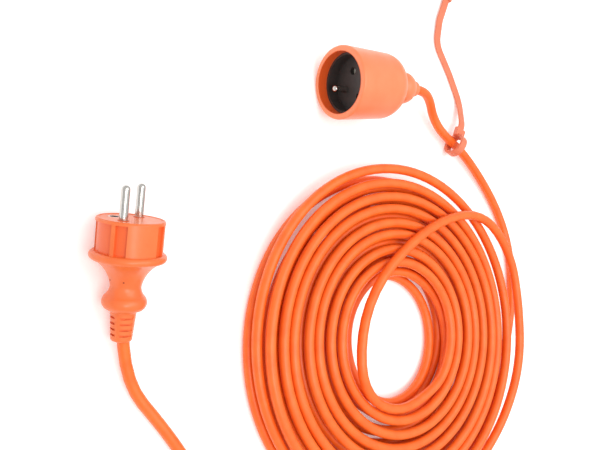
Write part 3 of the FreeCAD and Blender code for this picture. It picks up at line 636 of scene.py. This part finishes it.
# The neck's radius under the vent marks is measured on the plug itself.
outside = plug_place @ Vector((LOOK_FROM, 0, VENT_HEIGHT))
_, neck_surface, _, _ = nodes["plug_body"].ray_cast(outside, -PLUG_X)
neck_radius = LOOK_FROM - (outside - neck_surface).length
# Painted shade: the vent marks are near-black discs that stand for the shade inside two small
# holes in the neck.
vent_painted_shade = pvc_material(
    "vent_mark", dye=(0.30, 0.022, 0.004), deep=(0.22, 0.016, 0.003), gloss=0.6
)
vents = grown(
    "plug_vents", vent_tree(),
    {"Marks": 2, "Neck Radius": neck_radius, "First Angle": VENT_ANGLE, "Step": VENT_STEP,
     "Mark Radius": VENT_RADIUS, "Mark Depth": VENT_DEPTH},
    vent_painted_shade, place=plug_place @ Matrix.Translation((0, 0, VENT_HEIGHT)),
)
plug_details = [face_rim, *pin_seats, vents]
for piece in plug_details:
    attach(piece, "cord_set")


# ---------------------------------------------------------------------------------------
# Pins, earth sleeve and socket's earth pin
# Turned brass, plated with bright nickel, pressed into the bridge and the carrier. The
# tool leaves faint lines on them, and the plating is slightly uneven.

def drawn_metal_group():
    """Colour, roughness and surface normal of turned or drawn metal: a fine grain over
    patches where it is a little duller."""
    group = bpy.data.node_groups.new("drawn_metal", "ShaderNodeTree")
    add_socket(group, "INPUT", "NodeSocketFloat", "Patch Scale", 300.0)
    add_socket(group, "INPUT", "NodeSocketFloat", "Line Scale", 4000.0)
    add_socket(group, "INPUT", "NodeSocketFloat", "Shine", 0.12)
    add_socket(group, "INPUT", "NodeSocketFloat", "Dulling", 0.15)
    add_socket(group, "INPUT", "NodeSocketFloat", "Line Depth", 0.000004)
    add_socket(group, "INPUT", "NodeSocketColor", "Metal", (0.8, 0.8, 0.8, 1))
    add_socket(group, "INPUT", "NodeSocketColor", "Tarnish", (0.7, 0.7, 0.7, 1))
    add_socket(group, "OUTPUT", "NodeSocketColor", "Colour")
    add_socket(group, "OUTPUT", "NodeSocketFloat", "Roughness")
    add_socket(group, "OUTPUT", "NodeSocketVector", "Normal")
    made, link = group.nodes, group.links
    given = made.new("NodeGroupInput")
    out = made.new("NodeGroupOutput")
    place = made.new("ShaderNodeTexCoord")
    patches = made.new("ShaderNodeTexNoise")
    lines = made.new("ShaderNodeTexNoise")
    dull = made.new("ShaderNodeMath")
    dull.operation = "MULTIPLY_ADD"
    tint = made.new("ShaderNodeMix")
    tint.data_type = "RGBA"
    bump = made.new("ShaderNodeBump")
    for start, end in (
        (place.outputs["Object"], patches.inputs["Vector"]),
        (given.outputs["Patch Scale"], patches.inputs["Scale"]),
        (place.outputs["Object"], lines.inputs["Vector"]),
        (given.outputs["Line Scale"], lines.inputs["Scale"]),
        (patches.outputs["Fac"], dull.inputs[0]),
        (given.outputs["Dulling"], dull.inputs[1]),
        (given.outputs["Shine"], dull.inputs[2]),
        (dull.outputs["Value"], out.inputs["Roughness"]),
        (patches.outputs["Fac"], tint.inputs["Factor"]),
        (given.outputs["Metal"], tint.inputs["A"]),
        (given.outputs["Tarnish"], tint.inputs["B"]),
        (tint.outputs["Result"], out.inputs["Colour"]),
        (lines.outputs["Fac"], bump.inputs["Height"]),
        (given.outputs["Line Depth"], bump.inputs["Distance"]),
        (bump.outputs["Normal"], out.inputs["Normal"]),
    ):
        link.new(start, end)
    return group


drawn_metal = drawn_metal_group()


def metal_material(name, metal, tarnish, shine, dulling):
    made, tree_nodes, tree_links, skin = plain_material(name)
    surface = tree_nodes.new("ShaderNodeGroup")
    surface.node_tree = drawn_metal
    surface.inputs["Metal"].default_value = (*metal, 1)
    surface.inputs["Tarnish"].default_value = (*tarnish, 1)
    surface.inputs["Shine"].default_value = shine
    surface.inputs["Dulling"].default_value = dulling
    skin.inputs["Metallic"].default_value = 1
    tree_links.new(surface.outputs["Colour"], skin.inputs["Base Color"])
    tree_links.new(surface.outputs["Roughness"], skin.inputs["Roughness"])
    tree_links.new(surface.outputs["Normal"], skin.inputs["Normal"])
    return made


nickel = metal_material(
    "nickel_plate", metal=(0.66, 0.64, 0.60), tarnish=(0.50, 0.48, 0.45), shine=0.08, dulling=0.16
)
dress(nickel, "plug_pin_live", "plug_pin_neutral", "plug_earth_sleeve", "socket_earth_pin")


# ---------------------------------------------------------------------------------------
# Carrier, bridge and shutter
# Injection-moulded natural nylon: the bridge that holds the plug's pins, the block behind
# the socket's face that holds the contacts, and the plate that shuts the pin holes.

nylon = pvc_material(
    "carrier_nylon", dye=(0.72, 0.69, 0.60), deep=(0.66, 0.63, 0.54), gloss=0.35,
    spread=0.12, mottle=200.0, grain=1500.0,
)
dress(nylon, "plug_bridge", "socket_carrier", "socket_shutter")


# ---------------------------------------------------------------------------------------
# Contacts and spring
# The contacts are slit brass tubes, left bare and pushed into the carrier. The spring that
# closes the shutter is wound from steel wire.

SOCKET_PLACE = Vector((-0.08993, -0.00791, 0.025043))
SOCKET_X = Vector((0.987662, 0.007314, 0.156430))
SOCKET_Y = Vector((-0.156601, 0.046126, 0.986584))
SOCKET_Z = Vector((0.0, -0.998909, 0.046702))

brass = metal_material(
    "brass", metal=(0.78, 0.57, 0.25), tarnish=(0.55, 0.36, 0.13), shine=0.2, dulling=0.25
)
dress(brass, "socket_contact_live", "socket_contact_neutral")
spring_steel = metal_material(
    "spring_steel", metal=(0.56, 0.56, 0.57), tarnish=(0.42, 0.42, 0.43), shine=0.22, dulling=0.2
)
dress(spring_steel, "socket_shutter_spring")
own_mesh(nodes["socket_shutter_spring"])


# ---------------------------------------------------------------------------------------
# Cores
# Three stranded copper cores in PVC insulation, crimped to the pins and contacts: brown,
# blue, and green striped with yellow for earth.

STRIPE_SCALE = 160.0
STRIPE_WAVER = 0.3
STRIPE_EDGE = (0.55, 0.65)
EARTH_GREEN = (0.03, 0.30, 0.035, 1)
EARTH_YELLOW = (0.80, 0.62, 0.02, 1)

core_brown = pvc_material(
    "core_brown", dye=(0.060, 0.018, 0.008), deep=(0.045, 0.013, 0.006), gloss=0.4
)
dress(core_brown, "plug_core_live", "socket_core_live")
core_blue = pvc_material(
    "core_blue", dye=(0.010, 0.075, 0.36), deep=(0.008, 0.06, 0.30), gloss=0.4
)
dress(core_blue, "plug_core_neutral", "socket_core_neutral")

core_earth, tree_nodes, tree_links, skin = plain_material("core_green_yellow")
stripes = tree_nodes.new("ShaderNodeTexWave")
stripes.bands_direction = "DIAGONAL"
stripes.inputs["Scale"].default_value = STRIPE_SCALE
stripes.inputs["Distortion"].default_value = STRIPE_WAVER
where = tree_nodes.new("ShaderNodeTexCoord")
edge = tree_nodes.new("ShaderNodeMapRange")
edge.inputs["From Min"].default_value = STRIPE_EDGE[0]
edge.inputs["From Max"].default_value = STRIPE_EDGE[1]
pair = tree_nodes.new("ShaderNodeMix")
pair.data_type = "RGBA"
pair.inputs["A"].default_value = EARTH_GREEN
pair.inputs["B"].default_value = EARTH_YELLOW
skin.inputs["Roughness"].default_value = 0.42
for start, end in (
    (where.outputs["Object"], stripes.inputs["Vector"]),
    (stripes.outputs["Fac"], edge.inputs["Value"]),
    (edge.outputs["Result"], pair.inputs["Factor"]),
    (pair.outputs["Result"], skin.inputs["Base Color"]),
):
    tree_links.new(start, end)
dress(core_earth, "plug_core_earth", "socket_core_earth")


# ---------------------------------------------------------------------------------------
# Socket
# Portable socket moulded in the same orange PVC, with a thick soft lip. Its copy of the
# moulding is coloured paler than the plug's, as painted light for the broad sheen on its body.
# Its black face is a nylon cup pressed in behind the lip, with two pin holes and the earth
# pin's hole.

MOUTH_RADIUS = 0.0214
MOUTH_FRONT = 0.0010
MOUTH_BACK = -0.0300
# Painted shade: the inside of the socket's mouth is coloured a deeper, redder orange for the
# shade and the light bounced inside it.
MOUTH_PAINTED_SHADE = (0.80, 0.110, 0.018, 1)

# Painted light: the socket's copy of the orange moulding is paler, for the sheen of light on its
# body.
socket_moulding_painted_light = pvc_material(
    "orange_moulding_painted_light", dye=(0.88, 0.255, 0.110), deep=(0.86, 0.225, 0.085), gloss=0.30,
    spread=0.10, mottle=70.0, grain=1800.0,
)
socket_place = part_place(SOCKET_PLACE, SOCKET_X, SOCKET_Y, SOCKET_Z)
# The inside of the mouth gets painted shade.
paint_recess_shade(
    socket_moulding_painted_light, socket_place, MOUTH_RADIUS, MOUTH_FRONT, MOUTH_BACK, MOUTH_PAINTED_SHADE
)
dress(socket_moulding_painted_light, "socket_body")
black = pvc_material(
    "black_insert", dye=(0.052, 0.042, 0.038), deep=(0.040, 0.033, 0.031), gloss=0.45,
    spread=0.1, mottle=300.0, grain=1500.0,
)
dress(black, "socket_insert")


# ---------------------------------------------------------------------------------------
# Cap and tether
# The cap closes the socket when nothing is plugged in. It hangs on a flat strap whose ring
# is loose round the cord, all moulded in softer, paler PVC.

STRAP_LINE = [
    (-0.0576, 0.1285, 0.0093), (-0.0666, 0.1341, 0.0093), (-0.0864, 0.1436, 0.00095),
    (-0.1094, 0.1351, 0.00095), (-0.1344, 0.1231, 0.00095), (-0.1544, 0.1291, 0.0018),
    (-0.1768, 0.1424, 0.0018),
]
STRAP_BREADTH = 0.0064
STRAP_THICKNESS = 0.0016
STRAP_EDGE = 0.0005
STRAP_BEND = 0.02

tether_pvc = pvc_material(
    "tether_pvc", dye=(0.78, 0.215, 0.110), deep=(0.74, 0.190, 0.092), gloss=0.4,
    spread=0.1, mottle=140.0, grain=1800.0,
)
dress(tether_pvc, "tether_collar", "socket_cap")
strap = grown(
    "strap", strip,
    {"Breadth": STRAP_BREADTH, "Rise": STRAP_THICKNESS, "Edge": STRAP_EDGE, "Bend": STRAP_BEND},
    tether_pvc, STRAP_LINE,
)
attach(strap, "tether")
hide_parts("tether_strap")
